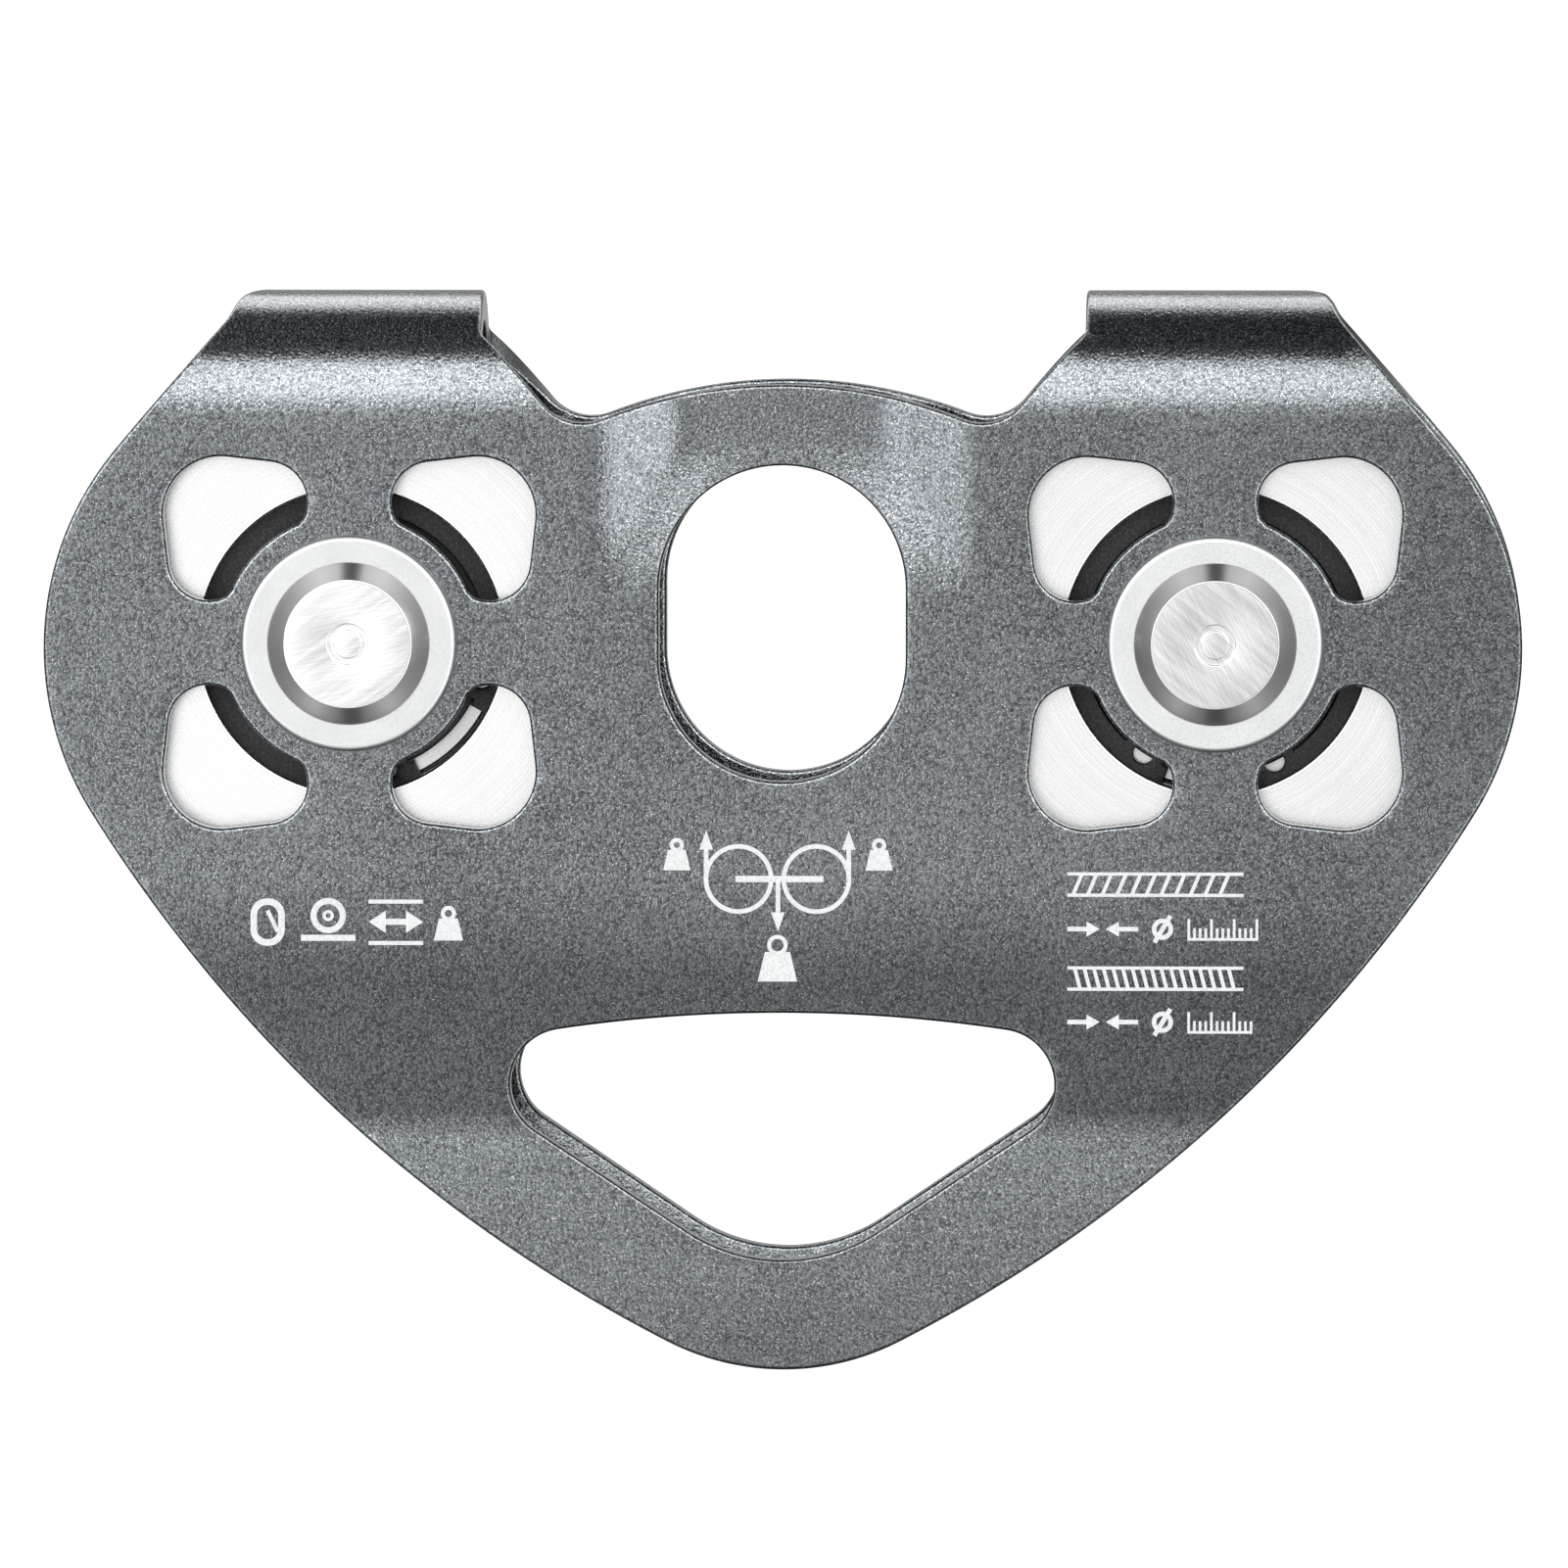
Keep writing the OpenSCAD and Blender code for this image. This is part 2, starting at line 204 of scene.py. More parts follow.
def inward_normals(loop):
    """Unit normals at a loop's points, on the left of its direction."""
    edge = np.roll(loop, -1, axis=0) - loop
    edge /= np.linalg.norm(edge, axis=1, keepdims=True)
    tangent = edge + np.roll(edge, 1, axis=0)
    tangent /= np.linalg.norm(tangent, axis=1, keepdims=True)
    normal = np.stack([-tangent[:, 1], tangent[:, 0]], axis=1)
    stretch = np.maximum(np.sum(edge * tangent, axis=1, keepdims=True), 0.5)
    return normal / stretch


def inside(points, loop):
    """Whether each point lies inside the loop, by counting crossings."""
    x, y = points[:, 0][:, None], points[:, 1][:, None]
    x0, y0 = loop[:, 0], loop[:, 1]
    x1, y1 = np.roll(x0, -1), np.roll(y0, -1)
    straddles = (y0 > y) != (y1 > y)
    with np.errstate(divide="ignore", invalid="ignore"):
        crossing = x0 + (y - y0) * (x1 - x0) / (y1 - y0)
    return np.sum(straddles & (x < crossing), axis=1) % 2 == 1


def distance_to(points, loop):
    a, b = loop, np.roll(loop, -1, axis=0)
    ab = b - a
    best = np.full(len(points), np.inf)
    for start, edge in zip(a, ab):
        t = np.clip(((points - start) @ edge) / (edge @ edge), 0, 1)
        best = np.minimum(best, np.linalg.norm(points - start - t[:, None] * edge, axis=1))
    return best


def grid_points(outer, holes, spacing):
    """A triangular grid inside the outline, kept clear of every edge."""
    low, high = outer.min(axis=0), outer.max(axis=0)
    rows = []
    row_height = spacing * math.sqrt(3) / 2
    for j in range(int((high[1] - low[1]) / row_height) + 1):
        x = np.arange(low[0] + (j % 2) * spacing / 2, high[0], spacing)
        rows.append(np.stack([x, np.full_like(x, low[1] + j * row_height)], axis=1))
    points = np.concatenate(rows)
    keep = inside(points, outer)
    for hole in holes:
        keep &= ~inside(points, hole)
    points = points[keep]
    for loop in [outer, *holes]:
        points = points[distance_to(points, loop) > 0.6 * spacing]
    return points


def fill(loops, extra):
    """Triangles over the area inside the first loop and outside the others."""
    points = np.concatenate([*loops, extra]) if len(extra) else np.concatenate(loops)
    edges = []
    start = 0
    for loop in loops:
        n = len(loop)
        edges += [(start + i, start + (i + 1) % n) for i in range(n)]
        start += n
    found = delaunay_2d_cdt([Vector(p) for p in points], edges, [], 0, 1e-7)
    verts, faces = np.array([tuple(v) for v in found[0]]), found[2]
    if len(verts) != len(points):
        raise ValueError(f"the outline crosses itself: {len(points)} points became {len(verts)}")
    original = [ids[0] for ids in found[3]]
    centres = np.array([verts[list(f)].mean(axis=0) for f in faces])
    keep = inside(centres, loops[0])
    for loop in loops[1:]:
        keep &= ~inside(centres, loop)
    return points, [[original[i] for i in f] for f, k in zip(faces, keep) if k]


def sheet(name, outer, holes, place, half_t, rim, spacing=None, rim_steps=4, centre=(0, 0, 0)):
    """A closed sheet with rounded rims. place(u, v, t) gives the points in millimetres, where
    t runs from -half_t to half_t. The attribute "wall" is 1 on the cut edge and 0 on the faces."""
    loops = [outer if signed_area(outer) > 0 else outer[::-1]]
    loops += [h if signed_area(h) < 0 else h[::-1] for h in holes]
    normals = [inward_normals(loop) for loop in loops]
    inset = [loop + rim * normal for loop, normal in zip(loops, normals)]
    extra = grid_points(inset[0], inset[1:], spacing) if spacing else np.empty((0, 2))
    flat, triangles = fill(inset, extra)
    count = len(flat)
    u, v = flat[:, 0], flat[:, 1]
    verts = [place(u, v, np.full(count, half_t)), place(u, v, np.full(count, -half_t))]
    wall = [np.zeros(count), np.zeros(count)]
    faces = [list(t) for t in triangles]
    faces += [[i + count for i in reversed(t)] for t in triangles]
    quarter = [math.radians(90) * k / rim_steps for k in range(1, rim_steps + 1)]
    profile = [(rim * (1 - math.sin(a)), half_t - rim * (1 - math.cos(a)), math.sin(a)) for a in quarter]
    profile += [(d, -t, share) for d, t, share in reversed(profile)]
    total = 2 * count
    start = 0
    for loop, normal in zip(loops, normals):
        n = len(loop)
        rings = [list(range(start, start + n))]
        for depth, t, share in profile:
            p = loop + depth * normal
            verts.append(place(p[:, 0], p[:, 1], np.full(n, t)))
            wall.append(np.full(n, share**3))
            rings.append(list(range(total, total + n)))
            total += n
        rings.append(list(range(count + start, count + start + n)))
        for a, b in zip(rings, rings[1:]):
            faces += [[a[(i + 1) % n], a[i], b[i], b[(i + 1) % n]] for i in range(n)]
        start += n
    obj = new_object(name, np.concatenate(verts), faces, centre)
    attribute = obj.data.attributes.new("wall", "FLOAT", "POINT")
    attribute.data.foreach_set("value", np.concatenate(wall))
    return keep_flats_flat(outward(obj))


# ---- Materials --------------------------------------------------------------------------------


class Finish:
    """A node material built around one Principled shader."""

    def __init__(self, name, colour=None, **sockets):
        self.material = bpy.data.materials.new(name)
        self.material.use_nodes = True
        self.tree = self.material.node_tree
        self.tree.nodes.clear()
        self.shader = self.tree.nodes.new("ShaderNodeBsdfPrincipled")
        output = self.tree.nodes.new("ShaderNodeOutputMaterial")
        self.tree.links.new(self.shader.outputs[0], output.inputs["Surface"])
        if colour:
            self.shader.inputs["Base Color"].default_value = (*colour, 1)
        self.set(self.shader, sockets)

    def set(self, node, sockets):
        for key, value in sockets.items():
            socket = node.inputs[key if isinstance(key, int) else key.replace("_", " ")]
            if isinstance(value, bpy.types.NodeSocket):
                self.tree.links.new(value, socket)
            else:
                socket.default_value = value

    def node(self, kind, settings=None, sockets=None):
        node = self.tree.nodes.new("ShaderNode" + kind)
        for key, value in (settings or {}).items():
            setattr(node, key, value)
        self.set(node, sockets or {})
        return node

    def math(self, operation, a, b=0.0, c=0.0, clamp=False):
        settings = {"operation": operation, "use_clamp": clamp}
        return self.node("Math", settings, {0: a, 1: b, 2: c}).outputs[0]

    def place(self):
        """The point in the object's own coordinates, in metres."""
        return self.node("TexCoord").outputs["Object"]

    def scaled(self, x=1.0, y=1.0, z=1.0, turn=0.0):
        """The point in the object's coordinates, turned about Y by turn degrees, then scaled."""
        turned_point = self.node(
            "VectorRotate",
            {"rotation_type": "Y_AXIS"},
            {"Vector": self.place(), "Angle": math.radians(turn)},
        ).outputs[0]
        return self.node("VectorMath", {"operation": "MULTIPLY"}, {0: turned_point, 1: (x, y, z)}).outputs[0]

    def noise(self, size_mm, detail=2.0, roughness=0.5, vector=None):
        """Noise whose blobs are about size_mm across."""
        sockets = {
            "Vector": vector or self.place(),
            "Scale": 1 / (size_mm * MM) if vector is None else 1.0,
            "Detail": detail,
            "Roughness": roughness,
        }
        return self.node("TexNoise", None, sockets).outputs["Fac"]

    def remap(self, value, from_low, from_high, to_low, to_high):
        sockets = {"Value": value, 1: from_low, 2: from_high, 3: to_low, 4: to_high}
        return self.node("MapRange", {"clamp": True}, sockets).outputs[0]

    def mix(self, factor, a, b):
        """Mixes two colours."""
        node = self.node("Mix", {"data_type": "RGBA"})
        pairs = {0: factor, 6: a, 7: b}
        for index, value in pairs.items():
            if isinstance(value, bpy.types.NodeSocket):
                self.tree.links.new(value, node.inputs[index])
            else:
                node.inputs[index].default_value = value if index == 0 else (*value, 1)
        return node.outputs[2]

    def colour(self, factor, a, b):
        self.set(self.shader, {"Base_Color": self.mix(factor, a, b)})

    def roughness(self, value, from_low, from_high, low, high):
        self.set(self.shader, {"Roughness": self.remap(value, from_low, from_high, low, high)})

    def bump(self, *layers):
        """Stacks (height, depth in mm) layers of bump."""
        normal = None
        for height, depth_mm in layers:
            sockets = {"Height": height, "Distance": depth_mm * MM, "Strength": 1.0}
            if normal is not None:
                sockets["Normal"] = normal
            normal = self.node("Bump", None, sockets).outputs[0]
        self.set(self.shader, {"Normal": normal})

    def radius(self):
        """Distance from the object's Y axis, in metres."""
        parts = self.node("SeparateXYZ", None, {0: self.place()}).outputs
        squares = [self.math("MULTIPLY", parts[i], parts[i]) for i in (0, 2)]
        return self.math("SQRT", self.math("ADD", *squares))

    def lathe_lines(self, pitch_mm, detail=4.0):
        """Fine rings about the object's Y axis, as a turning tool leaves them."""
        sockets = {"W": self.radius(), "Scale": 1 / (pitch_mm * MM), "Detail": detail, "Roughness": 0.7}
        return self.node("TexNoise", {"noise_dimensions": "1D"}, sockets).outputs["Fac"]


def blasted_aluminium():
    """Bead-blasted, grey anodised sheet: a pebbled grain that glints through its bumps and through painted
    highlights in its colour, with painted shade on the cut edges, a painted dark band across the middle and
    painted shade towards the right and the tip.
    """
    m = Finish("blasted_aluminium", Metallic=1.0)
    grain = m.noise(0.3, 1.0, 0.6)
    fine = m.noise(0.16, 1.0, 0.5)
    blotches = m.noise(24.0, 2.0)
    # painted highlight: the brightest fine specks of the grain are lightened in colour to stand in for glints
    painted_glint = m.remap(fine, 0.58, 0.72, 0.0, 0.62)
    shade = m.math("ADD", m.math("MULTIPLY", grain, 0.8), m.math("MULTIPLY", blotches, 0.2))
    body = m.mix(m.remap(shade, 0.34, 0.64, 0.0, 1.0), (0.0505, 0.0556, 0.0585), (0.174, 0.188, 0.198))
    with_painted_glints = m.mix(painted_glint, body, (0.6, 0.62, 0.63))
    x, _, z = m.node("SeparateXYZ", None, {0: m.place()}).outputs
    # painted shade: a dark band across the plates from just under the middle down to the crease, standing in
    # for a darker reflection of the room
    painted_dark_band = m.math("MULTIPLY", m.remap(z, -0.008, 0.003, 0.52, 0.0), m.remap(z, -0.0245, -0.0215, 0.0, 1.0))
    # painted shade: the plates darken towards the right side and towards the tip, with a slight darkening
    # everywhere between
    painted_side_and_tip_shade = m.math("MAXIMUM", m.remap(x, 0.0, 0.07, 0.0, 0.26), m.remap(z, -0.046, -0.024, 0.42, 0.06))
    shaded = m.mix(m.math("MAXIMUM", painted_dark_band, painted_side_and_tip_shade), with_painted_glints, (0.014, 0.016, 0.018))
    # painted shade: the cut edges and hole walls are darkened in colour
    wall = m.node("Attribute", {"attribute_name": "wall"}).outputs["Fac"]
    m.colour(m.math("MULTIPLY", wall, 0.85), shaded, (0.018, 0.019, 0.02))
    m.roughness(grain, 0.3, 0.7, 0.15, 0.2)
    m.bump((grain, 0.032), (fine, 0.008))
    return m.material


def turned_steel(name="turned_steel", shade=0.61, turn_pitch=0.12, roughness=0.22):
    """Stainless steel as it comes off a lathe, with fine rings."""
    m = Finish(name, Metallic=1.0)
    lines = m.lathe_lines(turn_pitch)
    cloud = m.noise(5.0, 2.0)
    low, high = shade * 0.94, min(1.0, shade * 1.06)
    m.colour(m.math("MULTIPLY", lines, cloud), (low, low, low * 1.005), (high, high, high * 1.005))
    m.roughness(lines, 0.3, 0.7, roughness - 0.05, roughness + 0.06)
    m.bump((lines, 0.006))
    return m.material


HEAD_FLAT_R = 0.0062


def brushed_steel(name, turn, shade, roughness=0.24):
    """Stainless steel with straight scratches across the flat end and fine rings everywhere."""
    m = Finish(name, Metallic=1.0)
    long_scratches = m.noise(1.0, 3.0, 0.6, m.scaled(300.0, 300.0, 9000.0, turn))
    few_scratches = m.noise(1.0, 1.0, 0.5, m.scaled(160.0, 160.0, 2600.0, turn + 23.0))
    rings = m.lathe_lines(0.2)
    flat = m.remap(m.radius(), HEAD_FLAT_R - 0.0001, HEAD_FLAT_R + 0.0001, 1.0, 0.0)
    streaks = m.math("MULTIPLY", m.remap(long_scratches, 0.35, 0.65, 0.0, 1.0), flat)
    m.colour(streaks, (shade * 0.9,) * 3, (min(1.0, shade * 1.06),) * 3)
    m.roughness(m.math("MULTIPLY", few_scratches, flat), 0.35, 0.65, roughness - 0.03, roughness + 0.03)
    long_marks = m.math("MULTIPLY", long_scratches, flat)
    few_marks = m.math("MULTIPLY", few_scratches, flat)
    m.bump((long_marks, 0.0005), (few_marks, 0.0003), (rings, 0.0016))
    return m.material


def tumbled_steel():
    """Stainless washers with a soft, even, slightly pitted finish."""
    m = Finish("tumbled_steel", Metallic=1.0)
    pits = m.noise(0.25, 3.0, 0.6)
    cloud = m.noise(3.0, 2.0)
    m.colour(cloud, (0.335, 0.338, 0.341), (0.39, 0.393, 0.396))
    m.roughness(pits, 0.3, 0.7, 0.3, 0.44)
    m.bump((pits, 0.006))
    return m.material


def blackened_spring_steel():
    """Phosphated spring steel, oily black with lighter specks."""
    m = Finish("blackened_spring_steel", Metallic=0.75)
    specks = m.noise(0.3, 3.0, 0.7)
    m.colour(m.remap(specks, 0.45, 0.75, 0.0, 1.0), (0.014, 0.014, 0.015), (0.05, 0.05, 0.053))
    m.roughness(specks, 0.3, 0.7, 0.3, 0.5)
    m.bump((specks, 0.008))
    return m.material


def moulded_rubber():
    m = Finish("moulded_rubber")
    grain = m.noise(0.12, 3.0, 0.6)
    m.colour(grain, (0.008, 0.008, 0.009), (0.02, 0.02, 0.021))
    m.roughness(grain, 0.3, 0.7, 0.5, 0.68)
    m.bump((grain, 0.006), (m.lathe_lines(0.35, 1.0), 0.01))
    return m.material


def polished_steel():
    m = Finish("polished_steel", Metallic=1.0)
    haze = m.noise(1.2, 2.0)
    m.colour(haze, (0.6, 0.61, 0.63), (0.68, 0.69, 0.71))
    m.roughness(haze, 0.3, 0.7, 0.06, 0.12)
    return m.material


def moulded_nylon():
    m = Finish("moulded_nylon", Subsurface_Weight=0.0)
    grain = m.noise(0.35, 2.0)
    m.colour(grain, (0.17, 0.14, 0.08), (0.26, 0.215, 0.13))
    m.roughness(grain, 0.3, 0.7, 0.42, 0.56)
    m.bump((grain, 0.01))
    return m.material


def marking_ink():
    """White ink that sinks a little into the blasted grain."""
    m = Finish("marking_ink")
    grain = m.noise(0.3, 2.0, 0.6)
    m.colour(m.remap(grain, 0.35, 0.7, 0.0, 1.0), (0.33, 0.335, 0.338), (0.255, 0.26, 0.263))
    m.roughness(grain, 0.3, 0.7, 0.45, 0.7)
    m.bump((grain, 0.02))
    return m.material


def dress(obj, material, body=None, replaces=()):
    """Gives a piece its material, the body that it rides on and the nodes it replaces."""
    obj.data.materials.clear()
    obj.data.materials.append(material)
    if body:
        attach(obj, body)
    if replaces:
        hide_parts(*replaces)
    return obj


# ---- The folded body --------------------------------------------------------------------------

SIDE_R = 147.0
TIP_R = 25.0
CROWN_TOP_Z = box_mm("side_plates")[1][2] - 9.1
CROWN_R = 49.0
VALLEY_X = 19.7
VALLEY_R = 5.0
VALLEY_SLOPE = 48.0
SHOULDER_LEAN = 40.0
BRIDGE_X = 29.9
FOOT_R = 2.0
BRIDGE_FLARE = 0.5
BRIDGE_CORNER = 1.4
CREASE_Z = -22.0
CREASE_SOFTNESS = 0.7
LOBE_LEAN = 7.0
PINCH_DEPTH = 2.0
PINCH_START_X = VALLEY_X - 0.8
PINCH_LAND_X = 9.5
PINCH_LAND_Z = 46.0
PINCH_FOOT_Z = 28.5
BEND_Z = TOP_Z - HALF_W
MID_Y = HALF_W - SHEET_T / 2
V_TOP = BEND_Z + HALF_W * math.pi / 2
RIM_R = 0.4

SHOULDER = np.array([SHOULDER_X, SHOULDER_Z])
TIP = np.array([0.0, LOW_Z + TIP_R])
SIDE_ARC = meet(TIP, SIDE_R - TIP_R, SHOULDER, SIDE_R - SHOULDER_R)
CROWN = np.array([0.0, CROWN_TOP_Z - CROWN_R])
VALLEY = np.array([VALLEY_X, CROWN[1] + math.sqrt((CROWN_R + VALLEY_R) ** 2 - VALLEY_X**2)])


def unroll(z):
    """The sheet coordinate of a front-view height: equal on the plate, along the outer arc on a bend."""
    return BEND_Z + HALF_W * math.asin(min(1.0, (z - BEND_Z) / HALF_W)) if z > BEND_Z else z


def outer_edge():
    """Right-hand outer edge of the front half of the sheet, from the tip to the top of the bridge."""
    points = [polar(TIP, TIP_R, -90)]
    points += arc(TIP, TIP_R, -90, heading(SIDE_ARC, TIP))
    points += arc(SIDE_ARC, SIDE_R, heading(SIDE_ARC, TIP), heading(SIDE_ARC, SHOULDER))
    points += arc(SHOULDER, SHOULDER_R, heading(SIDE_ARC, SHOULDER), SHOULDER_LEAN)
    x0, z0 = points[-1]
    for v in np.linspace(z0, V_TOP, 30)[1:]:
        angle = max(0.0, (v - BEND_Z) / HALF_W)
        z = BEND_Z + HALF_W * math.sin(angle) if v > BEND_Z else v
        flare = BRIDGE_FLARE * float(smoothstep(angle, math.radians(50), math.radians(68)))
        corner = BRIDGE_CORNER * float(smoothstep(angle, math.radians(74), math.radians(90)))
        points.append(np.array([x0 - (z - z0) * math.tan(math.radians(SHOULDER_LEAN)) + flare - corner, v]))
    return points


def inner_edge():
    """Right-hand inner edge, from the middle of the crown through the valley to the top of the bridge."""
    crown_end = heading(CROWN, VALLEY)
    valley_end = polar(VALLEY, VALLEY_R, VALLEY_SLOPE - 90)
    foot_z = valley_end[1] + (BRIDGE_X - valley_end[0]) * math.tan(math.radians(VALLEY_SLOPE))
    foot = np.array([BRIDGE_X, unroll(foot_z)])
    up, down = np.array([0.0, 1.0]), (valley_end - foot) / np.linalg.norm(valley_end - foot)
    half = math.acos(np.clip(up @ down, -1, 1)) / 2
    reach = FOOT_R / math.tan(half)
    bisector = (up + down) / np.linalg.norm(up + down)
    centre = foot + bisector * FOOT_R / math.sin(half)
    start, end = foot + down * reach, foot + up * reach
    points = [polar(CROWN, CROWN_R, 90)]
    points += arc(CROWN, CROWN_R, 90, crown_end)
    points += arc(VALLEY, VALLEY_R, crown_end - 180, VALLEY_SLOPE - 90)
    points += line(valley_end, start)
    turn = (heading(centre, end) - heading(centre, start) + 180) % 360 - 180
    points += arc(centre, FOOT_R, heading(centre, start), heading(centre, start) + turn, 0.4)
    points += line(end, (BRIDGE_X, V_TOP))
    return points


def whole_loop(half):
    """Closes a right-hand, front-half edge by mirroring it to the rear half and to the left."""
    half = np.array(half)
    rear = np.stack([half[:, 0], 2 * V_TOP - half[:, 1]], axis=1)[::-1]
    right = np.concatenate([half, rear[1:]])
    left = np.stack([-right[:, 0], right[:, 1]], axis=1)[::-1]
    return np.concatenate([right, left[1:-1]])


def mirrored_hole(half):
    """Closes a right-hand half hole, given from its lowest to its highest point."""
    half = np.array(half)
    left = np.stack([-half[:, 0], half[:, 1]], axis=1)[::-1]
    return np.concatenate([half, left[1:-1]])


def upper_hole():
    r, rise, z = 12.2, 3.4, 26.9
    half = [polar((0, z - rise), r, -90)]
    half += arc((0, z - rise), r, -90, 0)
    half += line((r, z - rise), (r, z + rise))
    half += arc((0, z + rise), r, 0, 90)
    return mirrored_hole(half)


def lower_hole():
    top_z, top_r, corner_x, corner_r, bottom_r, bottom_drop = -11.6, 150.0, 21.4, 5.5, 17.0, 0.5
    top = np.array([0.0, top_z - top_r])
    corner = np.array([corner_x, top[1] + math.sqrt((top_r - corner_r) ** 2 - corner_x**2)])
    bottom = np.array([0.0, corner[1] - bottom_drop])
    apart = np.linalg.norm(corner - bottom)
    side = heading(bottom, corner) - math.degrees(math.acos((bottom_r - corner_r) / apart))
    half = [polar(bottom, bottom_r, -90)]
    half += arc(bottom, bottom_r, -90, side)
    half += line(half[-1], polar(corner, corner_r, side))
    half += arc(corner, corner_r, side, heading(top, corner), 0.5)
    half += arc(top, top_r, heading(top, corner), 90)
    return mirrored_hole(half)


def belt(circles, step=0.5):
    """The outline round circles given counter-clockwise as (x, y, radius)."""
    points = []
    count = len(circles)
    for i, (x, y, r) in enumerate(circles):
        before, after = circles[i - 1], circles[(i + 1) % count]
        lean_before = math.acos((before[2] - r) / math.dist(before[:2], (x, y)))
        lean_after = math.acos((r - after[2]) / math.dist((x, y), after[:2]))
        start = heading(before, (x, y)) - math.degrees(lean_before)
        end = heading((x, y), after) - math.degrees(lean_after)
        end = start + (end - start) % 360
        points += [polar((x, y), r, start), *arc((x, y), r, start, end, step)]
        points += line(points[-1], polar(after, after[2], end))[:-1]
    return points


def window():
    """The window in the upper right quarter round an axle, as an outline about the axle."""
    reach, half_spoke, corner_r, end_r, end_drop, hub_r = 18.4, 4.2, 5.7, 4.0, 0.5, 12.8
    corner = reach - corner_r
    near, far = half_spoke + end_r, reach - end_drop - end_r
    around = belt([(far, near, end_r), (corner, corner, corner_r), (near, far, end_r)])
    # the belt is cut where it enters the hub disc, and the disc's edge closes the outline
    clear = [np.linalg.norm(p) > hub_r + 0.05 for p in around]
    first = next(i for i in range(len(around)) if clear[i] and not clear[i - 1])
    ordered = [p for p in around[first:] + around[:first] if np.linalg.norm(p) > hub_r + 0.05]
    start, end = heading((0, 0), ordered[-1]), heading((0, 0), ordered[0])
    return np.array(ordered + arc((0, 0), hub_r, start, end)[:-1])


def plate_holes():
    """All the holes of the front plate."""
    holes = [upper_hole(), lower_hole()]
    for side in SIDES.values():
        centre = np.array([side * AXLE_X, AXLE_Z])
        holes.append(np.array(arc(centre, 5.1, 0, 360)))
        for across in (-1, 1):
            for up in (-1, 1):
                holes.append(centre + window() * (across, up))
    return holes


def lean_in(w):
    """How far the lower lobes have moved inwards at height w."""
    below = (CREASE_Z - w) / CREASE_SOFTNESS
    return math.tan(math.radians(LOBE_LEAN)) * CREASE_SOFTNESS * np.logaddexp(0, below)


def pinch(x, w):
    """How far the crown is pressed in at a point of a plate."""
    across = np.clip((PINCH_START_X - np.abs(x)) / (PINCH_START_X - PINCH_LAND_X), 0, 1)
    up = np.clip((w - PINCH_FOOT_Z) / (PINCH_LAND_Z - PINCH_FOOT_Z), 0, 1)
    softness = 0.2
    h = np.clip(0.5 + 0.5 * (up - across) / softness, 0, 1)
    lowest = up + (across - up) * h - softness * h * (1 - h)
    lowest = np.maximum(lowest, 0)
    blend = lowest * lowest * (3 - 2 * lowest)
    return PINCH_DEPTH * (0.08 * lowest + 0.92 * blend)


def sheet_point(x, v, t):
    """Maps the flat sheet to the folded body: x across, v along the section, t outwards."""
    w = np.minimum(v, 2 * V_TOP - v)
    step = 0.05

    def surface(x, w):
        return -MID_Y + lean_in(w) + pinch(x, w)

    y = surface(x, w)
    slope_x = (surface(x + step, w) - y) / step
    slope_z = (surface(x, w + step) - y) / step
    leg = np.stack([x, y - t * np.sqrt(1 + slope_x**2 + slope_z**2), w], axis=1)
    angle = np.clip((w - BEND_Z) / HALF_W, 0, math.pi / 2)
    r = MID_Y + t
    bend = np.stack([x, -r * np.cos(angle), BEND_Z + r * np.sin(angle)], axis=1)
    share = (smoothstep(np.abs(x), VALLEY_X, VALLEY_X + 3.7) * (w > BEND_Z))[:, None]
    point = leg * (1 - share) + bend * share
    point[:, 1] *= np.where(v > V_TOP, -1, 1)
    return point


def folded_body():
    front = plate_holes()
    rear = [np.stack([h[:, 0], 2 * V_TOP - h[:, 1]], axis=1) for h in front]
    holes = [whole_loop(inner_edge()), *front, *rear]
    return sheet("folded_body", whole_loop(outer_edge()), holes, sheet_point, SHEET_T / 2, RIM_R, 1.6)


# ---- Parts on the axles -----------------------------------------------------------------------

RACE = box_mm("outer_race_right")
RACE_R = RACE[1][0] - AXLE_X
RACE_Y = RACE[1][1]
BORE_R = 5.03
BALL_R = 2.38
PITCH_R = 10.0
TRACK_R = BALL_R + 0.08


def centre_of(side):
    return (SIDES[side] * AXLE_X, 0, AXLE_Z)


def sheave(side):
    low, high = box_mm("sheave_" + side)
    half_w, r = high[1], (high[0] - low[0]) / 2
    groove_r, root_r, lip_r = 7.0, 18.5, 13.4
    clip_r, clip_w = 15.7, 1.23
    centre = root_r + groove_r
    edge_y = math.sqrt(groove_r**2 - (centre - r) ** 2)
    lead = math.degrees(math.asin(edge_y / groove_r)) + 4
    groove = [(x, y, 0) for x, y in arc((centre, 0), groove_r, lead, 360 - lead, 0.35) if x < r - 0.3]
    section = rounded(
        [
            (lip_r, half_w, 0.3),
            (r, half_w, 0.45),
            (r, edge_y + 0.02, 0.4),
            *groove,
            (r, -edge_y - 0.02, 0.4),
            (r, -half_w, 0.45),
            (RACE_R, -half_w, 0.35),
            (RACE_R, -RACE_Y - clip_w, 0.05),
            (clip_r, -RACE_Y - clip_w, 0.05),
            (clip_r, -RACE_Y, 0.05),
            (RACE_R, -RACE_Y, 0.02),
            (RACE_R, RACE_Y, 0.1),
            (lip_r, RACE_Y, 0.1),
        ]
    )
    return turned("turned_sheave_" + side, section, centre_of(side), 256)


def track(shoulder_r, sign):
    """The ball track in a race's shoulder, from front to rear where sign is +1."""
    half = math.degrees(math.acos((PITCH_R - shoulder_r) * (1 if shoulder_r < PITCH_R else -1) / TRACK_R))
    middle = 180 if shoulder_r < PITCH_R else 0
    return [(x, y, 0) for x, y in arc((PITCH_R, 0), TRACK_R, middle + sign * half, middle - sign * half, 0.3)]


